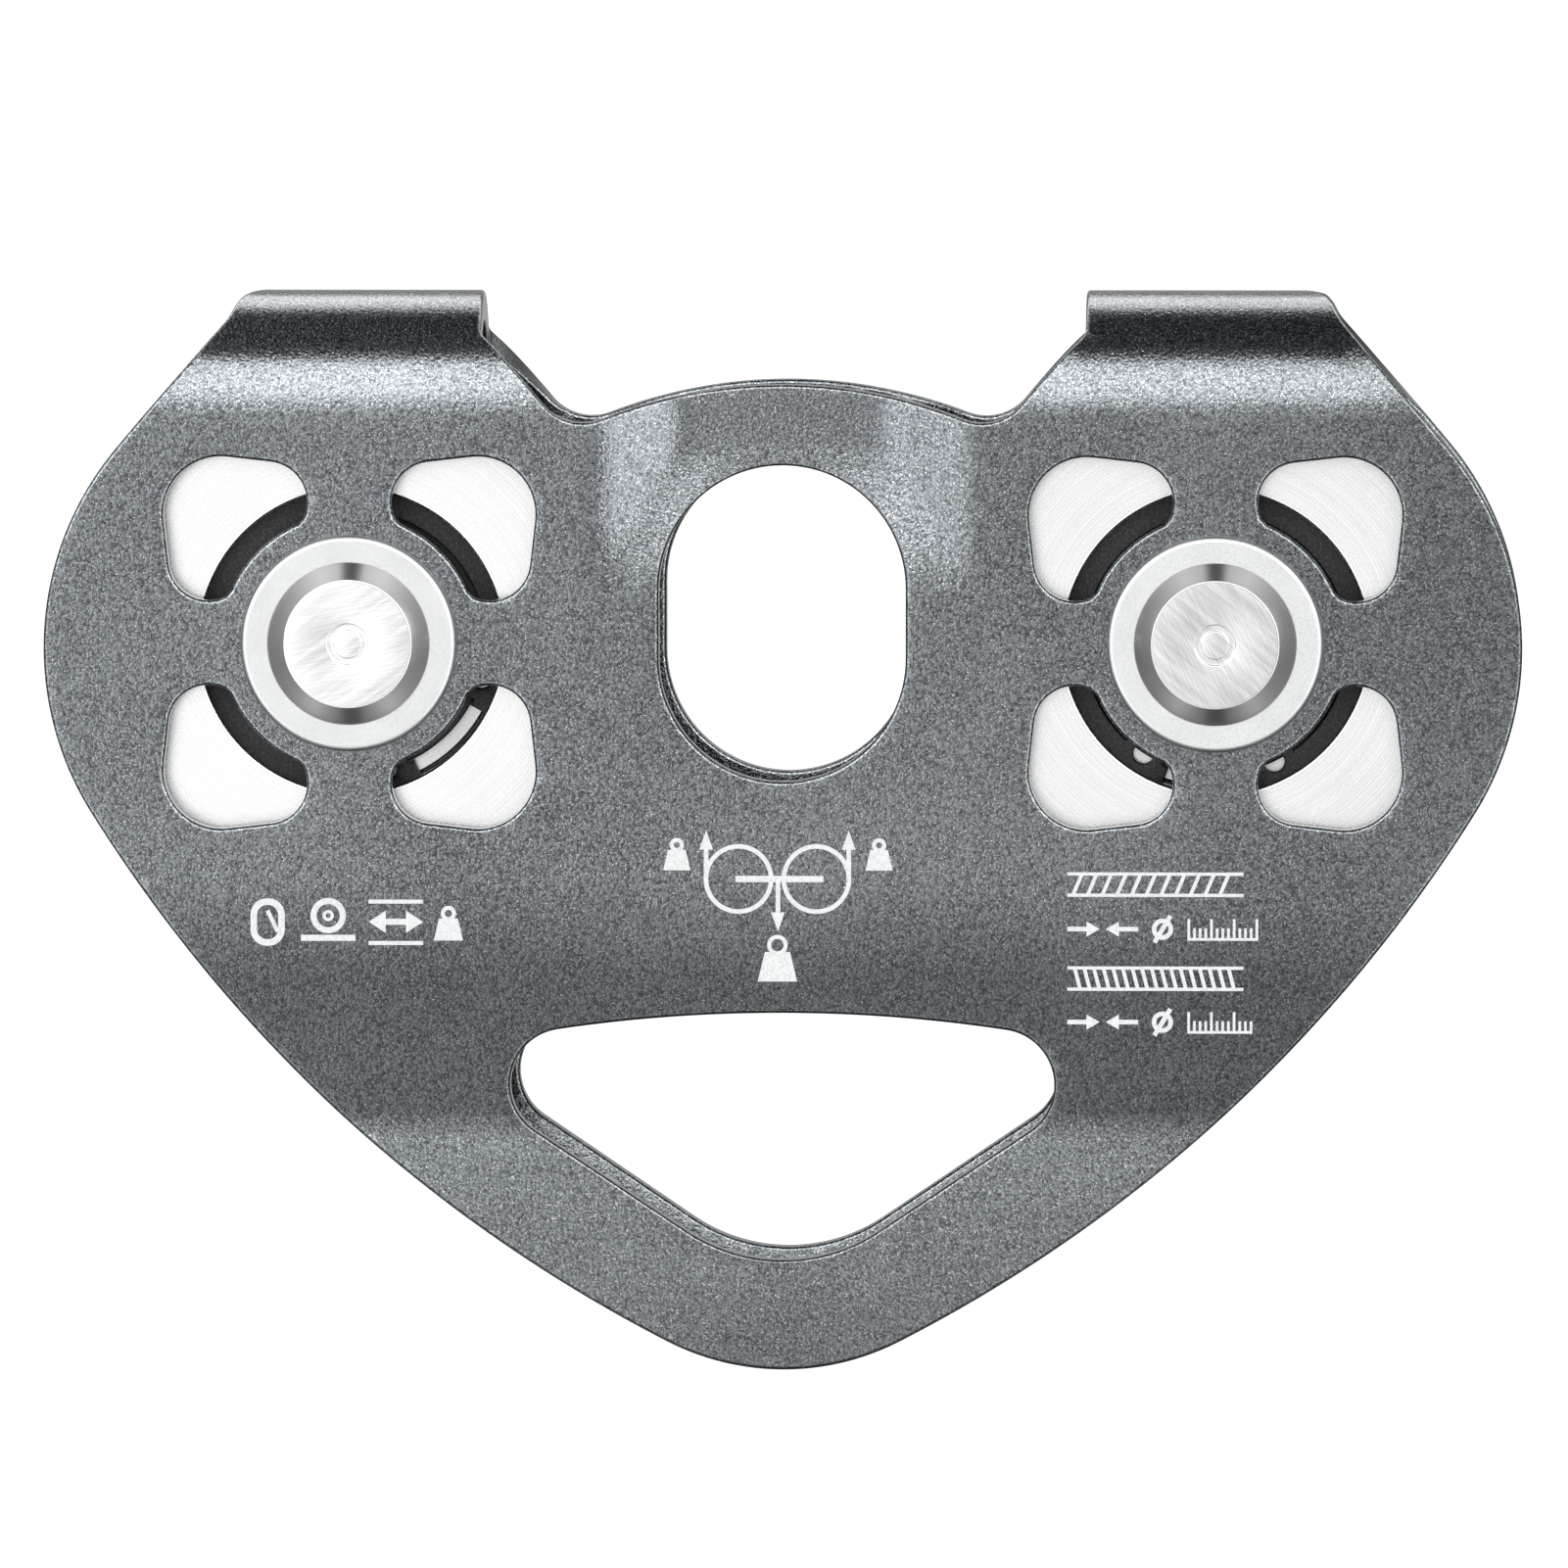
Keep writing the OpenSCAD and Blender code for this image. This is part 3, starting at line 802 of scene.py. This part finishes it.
def outer_race(side):
    shoulder_r, seat_r, seat_y = 11.6, 13.2, 3.5
    section = rounded(
        [
            (RACE_R, -RACE_Y, 0.55),
            (RACE_R, RACE_Y, 0.55),
            (seat_r, RACE_Y, 0.12),
            (seat_r, seat_y, 0),
            (shoulder_r, seat_y, 0.1),
            *track(shoulder_r, 1),
            (shoulder_r, -seat_y, 0.1),
            (seat_r, -seat_y, 0),
            (seat_r, -RACE_Y, 0.12),
        ]
    )
    return turned("ground_outer_race_" + side, section, centre_of(side))


def inner_race(side):
    shoulder_r = 8.4
    section = rounded(
        [
            (BORE_R, -RACE_Y, 0.3),
            (shoulder_r, -RACE_Y, 0.2),
            *track(shoulder_r, 1),
            (shoulder_r, RACE_Y, 0.2),
            (BORE_R, RACE_Y, 0.3),
        ]
    )
    return turned("ground_inner_race_" + side, section, centre_of(side))


def seal(side, face):
    """A moulded rubber seal with a raised lip inside, a dished middle and a raised bead outside."""
    y = FACES[face]
    inner_r, outer_r, back, front = 8.7, 13.2, 3.5, 4.2
    section = rounded(
        [
            (inner_r, y * back, 0.1),
            (outer_r, y * back, 0.05),
            (outer_r, y * front, 0.12),
            (outer_r - 0.7, y * front, 0.12),
            (outer_r - 0.85, y * (front - 0.2), 0.1),
            (inner_r + 1.1, y * (front - 0.3), 0.15),
            (inner_r + 0.75, y * front, 0.15),
            (inner_r, y * front, 0.2),
        ]
    )
    return turned(f"moulded_seal_{face}_{side}", section, centre_of(side))


def circlip(side, gap):
    """A stamped retaining ring with two eyed lugs; gap is the direction of its opening from +x."""
    outer_r, inner_r, offset, half_gap = 15.5, 13.0, 0.35, 17.0
    lug_r, lug_reach, eye_r, thickness = 2.15, 13.3, 1.0, 1.2
    lug = polar((0, 0), lug_reach, half_gap + 12.3)
    middle = np.array([offset, 0.0])
    across = offset * math.sin(math.radians(half_gap))
    end_r = offset * math.cos(math.radians(half_gap)) + math.sqrt(inner_r**2 - across**2)
    corner = polar((0, 0), end_r, half_gap)
    near, far = meet(lug, lug_r, middle, inner_r), meet(middle, inner_r, lug, lug_r)
    # the upper half, from the back of the ring forwards along its outside and back along its inside
    half = arc((0, 0), outer_r, 180, half_gap)
    half += line(half[-1], corner)
    half += arc(middle, inner_r, heading(middle, corner), heading(middle, near))
    start, end = heading(lug, near), heading(lug, far)
    half += arc(lug, lug_r, start, end - 360 if end > start else end, 0.3)
    half += arc(middle, inner_r, heading(middle, far), 180)
    lower = [np.array([p[0], -p[1]]) for p in half[::-1]]
    loop = half[:-1] + lower[1:-1]
    turn = math.radians(gap)
    spin = np.array([[math.cos(turn), -math.sin(turn)], [math.sin(turn), math.cos(turn)]])
    low_y = -RACE_Y - thickness / 2

    def place(u, v, t):
        flat = np.stack([u, v], axis=1) @ spin.T
        return np.stack([flat[:, 0], low_y - t, flat[:, 1]], axis=1)

    eyes = [np.array(arc((lug[0], s * lug[1]), eye_r, 0, 360, 0.3)) for s in (-1, 1)]
    outline = np.array(loop)
    name, centre = "stamped_circlip_" + side, centre_of(side)
    return sheet(name, outline, eyes, place, thickness / 2, 0.12, None, 3, centre)


def spacer(side, face):
    y = FACES[face]
    r = 7.0
    section = rounded(
        [(BORE_R, y * RACE_Y, 0.25), (r, y * RACE_Y, 0.3), (r, y * GAP_Y, 0.3), (BORE_R, y * GAP_Y, 0.25)]
    )
    return turned(f"turned_spacer_{face}_{side}", section, centre_of(side))


def washer(side, face):
    y = FACES[face]
    low, high = box_mm(f"{face}_washer_{side}")
    r, top = (high[0] - low[0]) / 2, max(abs(low[1]), abs(high[1]))
    section = rounded(
        [(BORE_R, y * HALF_W, 0.05), (r, y * HALF_W, 0.1), (r, y * top, 0.6), (BORE_R, y * top, 0.2)], 8
    )
    return turned(f"tumbled_washer_{face}_{side}", section, centre_of(side), 256)


def axle(side):
    top, pin_r = box_mm("axle_" + side)[1][1], 5.0
    base_r, top_r = 8.2, 6.3
    base = box_mm("rear_washer_" + side)[1][1]
    mark_in, mark_out, mark_t = 1.35, 2.05, 0.2
    section = rounded(
        [
            (0, -top, 0),
            (mark_in, -top, 0.08),
            (mark_in + 0.08, -top + mark_t, 0.05),
            (mark_out - 0.08, -top + mark_t, 0.05),
            (mark_out, -top, 0.08),
            (top_r, -top, 0.12),
            (base_r, -base, 0.1),
            (pin_r, -base, 0.05),
            (pin_r, base, 0.05),
            (base_r, base, 0.1),
            (top_r, top, 0.12),
            (0, top, 0),
        ]
    )
    return turned("riveted_axle_" + side, section, centre_of(side), 256)


# ---- Markings: pictograms without letters -------------------------------------------------------


def ring(x, z, r, stroke=0.45):
    return [np.array(arc((x, z), r, 0, 360, 0.3)), np.array(arc((x, z), r - stroke, 0, 360, 0.3))]


def bar(a, b, stroke=0.45):
    a, b = np.array(a, float), np.array(b, float)
    side = (b - a) / np.linalg.norm(b - a) * stroke / 2
    across = np.array([-side[1], side[0]])
    return [np.array([a - across, b - across, b + across, a + across])]


def arrow(tail, tip, head=1.9, width=1.35, stroke=0.45):
    """A straight arrow as two shapes."""
    tail, tip = np.array(tail, float), np.array(tip, float)
    along = (tip - tail) / np.linalg.norm(tip - tail)
    across = np.array([-along[1], along[0]]) * width / 2
    neck = tip - along * head
    return [bar(tail, neck + along * 0.2, stroke), [np.array([neck - across, tip, neck + across])]]


def printed(name, shapes):
    """Lays flat shapes, each an outline and perhaps a hole, on the front of the body as one thin film."""
    thickness, sink = 0.03, 0.02
    points, edges = [], []
    for shape in shapes:
        for loop in shape:
            n, first = len(loop), len(points)
            points += [Vector(p) for p in loop]
            edges += [(first + i, first + (i + 1) % n) for i in range(n)]
    found = delaunay_2d_cdt(points, edges, [], 0, 1e-6)
    flat = np.array([tuple(v) for v in found[0]])
    middles = np.array([flat[list(f)].mean(axis=0) for f in found[2]])
    keep = np.zeros(len(middles), bool)
    for shape in shapes:
        covered = inside(middles, shape[0])
        for hole in shape[1:]:
            covered &= ~inside(middles, hole)
        keep |= covered
    triangles = [list(f) for f, k in zip(found[2], keep) if k]
    count = len(flat)
    front = np.stack([flat[:, 0], np.full(count, -HALF_W - thickness), flat[:, 1]], axis=1)
    back = front + (0, thickness + sink, 0)
    faces = triangles + [[i + count for i in reversed(t)] for t in triangles]
    directed = {(t[i], t[(i + 1) % 3]) for t in triangles for i in range(3)}
    faces += [[b, a, a + count, b + count] for a, b in sorted(directed) if (b, a) not in directed]
    obj = outward(new_object(name, np.concatenate([front, back]), faces))
    bm = bmesh.new()
    bm.from_mesh(obj.data)
    bmesh.ops.delete(bm, geom=[v for v in bm.verts if not v.link_faces], context="VERTS")
    bm.to_mesh(obj.data)
    bm.free()
    obj.data.polygons.foreach_set("use_smooth", [False] * len(obj.data.polygons))
    return obj


def weight(x, z, size):
    """A lifting weight with a ring on top."""
    half, shoulder = size / 2, size * 0.32
    top = z + half * 0.5
    body = np.array([(x - half, z - half), (x + half, z - half), (x + shoulder, top), (x - shoulder, top)])
    return [[body], ring(x, z + half * 0.85, size * 0.26, 0.4)]


def diameter_sign(x, z, r):
    reach = np.array([0.75, 1.25]) * r
    return [ring(x, z, r), bar(np.array([x, z]) - reach, np.array([x, z]) + reach)]


def load_diagram():
    """Two sheaves on a bar, the rope pulling up at both ends and the load pulling down."""
    shapes = [ring(-4.3, 1.7, 3.45), ring(3.4, 1.7, 3.45), bar((-4.6, 1.7), (4.1, 1.7), 0.62)]
    shapes += arrow((-7.5, 1.7), (-7.5, 6.5)) + arrow((6.6, 1.7), (6.6, 6.5))
    shapes += arrow((-0.4, 1.7), (-0.4, -3.5))
    shapes += weight(-10.4, 3.9, 2.7) + weight(9.6, 3.9, 2.7) + weight(-0.45, -6.5, 3.9)
    return shapes


def use_signs():
    """A carabiner, a sheave on its rope, both ways along the rope, and a load under the pulley."""
    stroke = 0.6
    hook = rounded([(-52.6, -5.0, 1.6), (-49.2, -5.0, 1.6), (-49.2, -0.3, 1.6), (-52.6, -0.3, 1.6)])
    inner = rounded([(-51.95, -4.35, 1.0), (-49.85, -4.35, 1.0), (-49.85, -0.95, 1.0), (-51.95, -0.95, 1.0)])
    shapes = [[hook, inner], bar((-49.9, -3.6), (-50.9, -1.5), 0.4)]
    shapes += [ring(-44.9, -2.0, 1.75, stroke), ring(-44.9, -2.0, 0.55, 0.3)]
    shapes += [bar((-47.6, -4.2), (-42.2, -4.2), stroke)]
    shapes += arrow((-38.1, -2.6), (-40.9, -2.6), 1.7, 2.2, stroke)
    shapes += arrow((-38.3, -2.6), (-35.5, -2.6), 1.7, 2.2, stroke)
    shapes += [bar((-40.9, -4.7), (-35.5, -4.7), 0.4), bar((-40.9, -0.6), (-35.5, -0.6), 0.4)]
    return shapes + weight(-33.0, -3.0, 2.9)


def rope_signs():
    """A laid rope and a cable, each over its diameter sign, measuring arrows and scale."""
    shapes = []
    for z, pitch, lean in ((1.2, 1.45, 0.9), (-8.1, 0.95, -0.55)):
        shapes += [bar((28.2, z + side), (45.6, z + side), 0.32) for side in (1.05, -1.05)]
        for k in range(int(16.4 / pitch)):
            x = 28.9 + k * pitch
            shapes.append(bar((x - lean / 2 + 0.3, z - 1.05), (x + lean / 2 + 0.3, z + 1.05), 0.36))
    for z, marks in ((-3.2, 13), (-12.4, 12)):
        shapes += arrow((28.2, z), (31.4, z), 1.3, 1.5) + arrow((35.2, z), (32.0, z), 1.3, 1.5)
        shapes += diameter_sign(37.6, z, 1.05)
        for k in range(marks):
            tall = 1.0 if k % 4 == 0 else 0.55
            shapes.append(bar((40.2 + k * 0.56, z - 1.0), (40.2 + k * 0.56, z - 1.0 + 2 * tall), 0.26))
        shapes.append(bar((40.07, z - 1.0), (40.33 + (marks - 1) * 0.56, z - 1.0), 0.26))
    return shapes


folded = dress(folded_body(), blasted_aluminium(), "body", ["side_plates"])
ink = marking_ink()
prints = (("load_diagram", load_diagram), ("use_signs", use_signs), ("rope_signs", rope_signs))
for name, shapes in prints:
    dress(printed(name, shapes()), ink, "body")

finishes = {
    "sheave": turned_steel(),
    "race": turned_steel("ground_race_steel", 0.5, 0.06, 0.22),
    "seal": moulded_rubber(),
    "circlip": blackened_spring_steel(),
    "spacer": turned_steel("spacer_steel", 0.62, 0.1, 0.28),
    "washer": tumbled_steel(),
}
GAPS = {"left": -46.0, "right": -93.5}
SCRATCHES = {"left": 12.0, "right": -62.0}
# painted light and shade: the left axle head is a lighter copy of the steel and the right one a darker copy
HEAD_PAINTED_LIGHT_LEVELS = {"left": 0.57, "right": 0.49}
for side in SIDES:
    wheel = side + "_wheel"
    dress(sheave(side), finishes["sheave"], wheel, ["sheave_" + side])
    dress(outer_race(side), finishes["race"], wheel, ["outer_race_" + side])
    dress(inner_race(side), finishes["race"], "body", ["inner_race_" + side])
    dress(circlip(side, GAPS[side]), finishes["circlip"], wheel, ["circlip_" + side])
    axle_steel_with_painted_light = brushed_steel("brushed_steel_" + side, SCRATCHES[side], HEAD_PAINTED_LIGHT_LEVELS[side])
    dress(axle(side), axle_steel_with_painted_light, "body", ["axle_" + side])
    for face in FACES:
        dress(seal(side, face), finishes["seal"], wheel, [f"{face}_seal_{side}"])
        dress(spacer(side, face), finishes["spacer"], "body", [f"{face}_spacer_{side}"])
        dress(washer(side, face), finishes["washer"], "body", [f"{face}_washer_{side}"])

balls, cage = polished_steel(), moulded_nylon()
for side in SIDES:
    for node, finish in (("bearing_balls_", balls), ("ball_cage_", cage)):
        dress(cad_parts[node + side], finish)

# ---- Camera, light and floor -------------------------------------------------------------------


def ramp(tree, value, stops, top):
    """A smooth brightness by stops of (position from 0 to 1, brightness), scaled by top."""
    node = tree.nodes.new("ShaderNodeValToRGB")
    node.color_ramp.interpolation = "LINEAR"
    elements = node.color_ramp.elements
    while len(elements) < len(stops):
        elements.new(0.5)
    for element, (position, level) in zip(elements, stops):
        element.position = position
        element.color = (level / top,) * 3 + (1,)
    tree.links.new(value, node.inputs[0])
    scale = tree.nodes.new("ShaderNodeMath")
    scale.operation = "MULTIPLY"
    scale.inputs[1].default_value = top
    tree.links.new(node.outputs[0], scale.inputs[0])
    return scale.outputs[0]


def studio():
    """A white room whose light comes in strips along X, given by the angle round X from the front."""
    around_stops = [
        (-180, 0.6),
        (-150, 0.9),
        (-110, 0.12),
        (-70, 0.12),
        (-45, 1.0),
        (-30, 1.6),
        (-16, 1.5),
        (-9, 0.8),
        (-2, 0.85),
        (8, 1.15),
        (13, 2.0),
        (21, 4.6),
        (50, 5.0),
        (56, 0.25),
        (70, 0.05),
        (104, 0.05),
        (116, 0.3),
        (120, 3.6),
        (142, 3.6),
        (146, 0.4),
        (180, 0.6),
    ]
    across_stops = [
        (-90, 0.1),
        (-60, 0.8),
        (-40, 1.7),
        (-18, 2.3),
        (-7, 1.1),
        (-2, 0.2),
        (2, 0.0),
        (9, 0.1),
        (16, 2.2),
        (35, 2.5),
        (60, 1.0),
        (90, 0.1),
    ]
    world = bpy.data.worlds.new("studio")
    world.use_nodes = True
    tree = world.node_tree
    tree.nodes.clear()

    def maths(operation, a, b):
        node = tree.nodes.new("ShaderNodeMath")
        node.operation = operation
        for socket, value in zip(node.inputs, (a, b)):
            if isinstance(value, bpy.types.NodeSocket):
                tree.links.new(value, socket)
            else:
                socket.default_value = value
        return node.outputs[0]

    direction = tree.nodes.new("ShaderNodeSeparateXYZ")
    tree.links.new(tree.nodes.new("ShaderNodeTexCoord").outputs["Generated"], direction.inputs[0])
    x, y, z = direction.outputs
    forward = maths("MULTIPLY", y, -1.0)

    def turn_share(angle, limit):
        scaled = maths("DIVIDE", angle, 2 * math.radians(limit))
        return maths("ADD", scaled, 0.5)

    around = turn_share(maths("ARCTAN2", z, forward), 180)
    across = turn_share(maths("ARCTAN2", x, forward), 90)
    strips = ramp(tree, around, [((a + 180) / 360, level) for a, level in around_stops], 6.0)
    sides = ramp(tree, across, [((a + 90) / 180, level) for a, level in across_stops], 3.0)
    level_stops = [(-50, 0), (-25, 1), (25, 1), (50, 0)]
    level_only = ramp(tree, around, [((a + 180) / 360, level) for a, level in level_stops], 1.0)
    front = maths("ADD", strips, maths("MULTIPLY", sides, level_only))
    # light that comes square to the line of sight is set by its angle round Y, save over and under the part
    beside_stops = [(0, 1.5), (14, 1.1), (26, 1.3), (38, 1.0), (54, 0.6), (70, 0.4)]
    beside_stops += [(110, 0.34), (132, 0.5), (150, 0.85), (166, 0.4), (180, 0.3)]
    turn = maths("DIVIDE", maths("ABSOLUTE", maths("ARCTAN2", x, z), 0.0), math.pi)
    beside = ramp(tree, turn, [(a / 180, level) for a, level in beside_stops], 2.0)
    square_on = maths("MULTIPLY", maths("SUBTRACT", 0.42, maths("ABSOLUTE", y, 0.0)), 8.0)
    off_middle = maths("MULTIPLY", maths("SUBTRACT", maths("ABSOLUTE", x, 0.0), 0.1), 14.0)
    share = maths("MAXIMUM", 0.0, maths("MINIMUM", 1.0, maths("MINIMUM", square_on, off_middle)))
    light = maths("ADD", front, maths("MULTIPLY", share, maths("SUBTRACT", beside, front)))
    seen = tree.nodes.new("ShaderNodeLightPath").outputs["Is Camera Ray"]
    mixed = maths("ADD", maths("MULTIPLY", light, maths("SUBTRACT", 1.0, seen)), maths("MULTIPLY", seen, 1.2))
    background = tree.nodes.new("ShaderNodeBackground")
    background.inputs["Color"].default_value = (1, 1, 1, 1)
    output = tree.nodes.new("ShaderNodeOutputWorld")
    tree.links.new(mixed, background.inputs["Strength"])
    tree.links.new(background.outputs[0], output.inputs[0])
    return world


bpy.context.scene.world = studio()


def pale_floor():
    """A plain white floor, well under the part."""
    size, drop = 4000.0, 400.0
    corners = [(-size, -size, -drop), (size, -size, -drop), (size, size, -drop), (-size, size, -drop)]
    floor = new_object("floor", corners, [(0, 1, 2, 3)])
    m = Finish("pale_floor", (0.9, 0.9, 0.9), Roughness=0.9)
    m.set(m.shader, {"Emission_Color": (1, 1, 1, 1), "Emission_Strength": 0.6})
    floor.data.materials.append(m.material)
    floor.visible_glossy = False
    floor.visible_diffuse = False


pale_floor()

camera_data = bpy.data.cameras.new("camera")
camera = bpy.data.objects.new("camera", camera_data)
bpy.context.scene.collection.objects.link(camera)
bpy.context.scene.camera = camera
camera.location = Vector((62, -2012, 112)) * MM
aim = Vector((0.2, -12.5, 11.1)) * MM
camera.rotation_euler = (aim - camera.location).to_track_quat("-Z", "Y").to_euler()
camera_data.sensor_width = 36
camera_data.angle = math.radians(4.429)
camera_data.clip_start = 0.01

bpy.context.scene.view_settings.view_transform = "Standard"
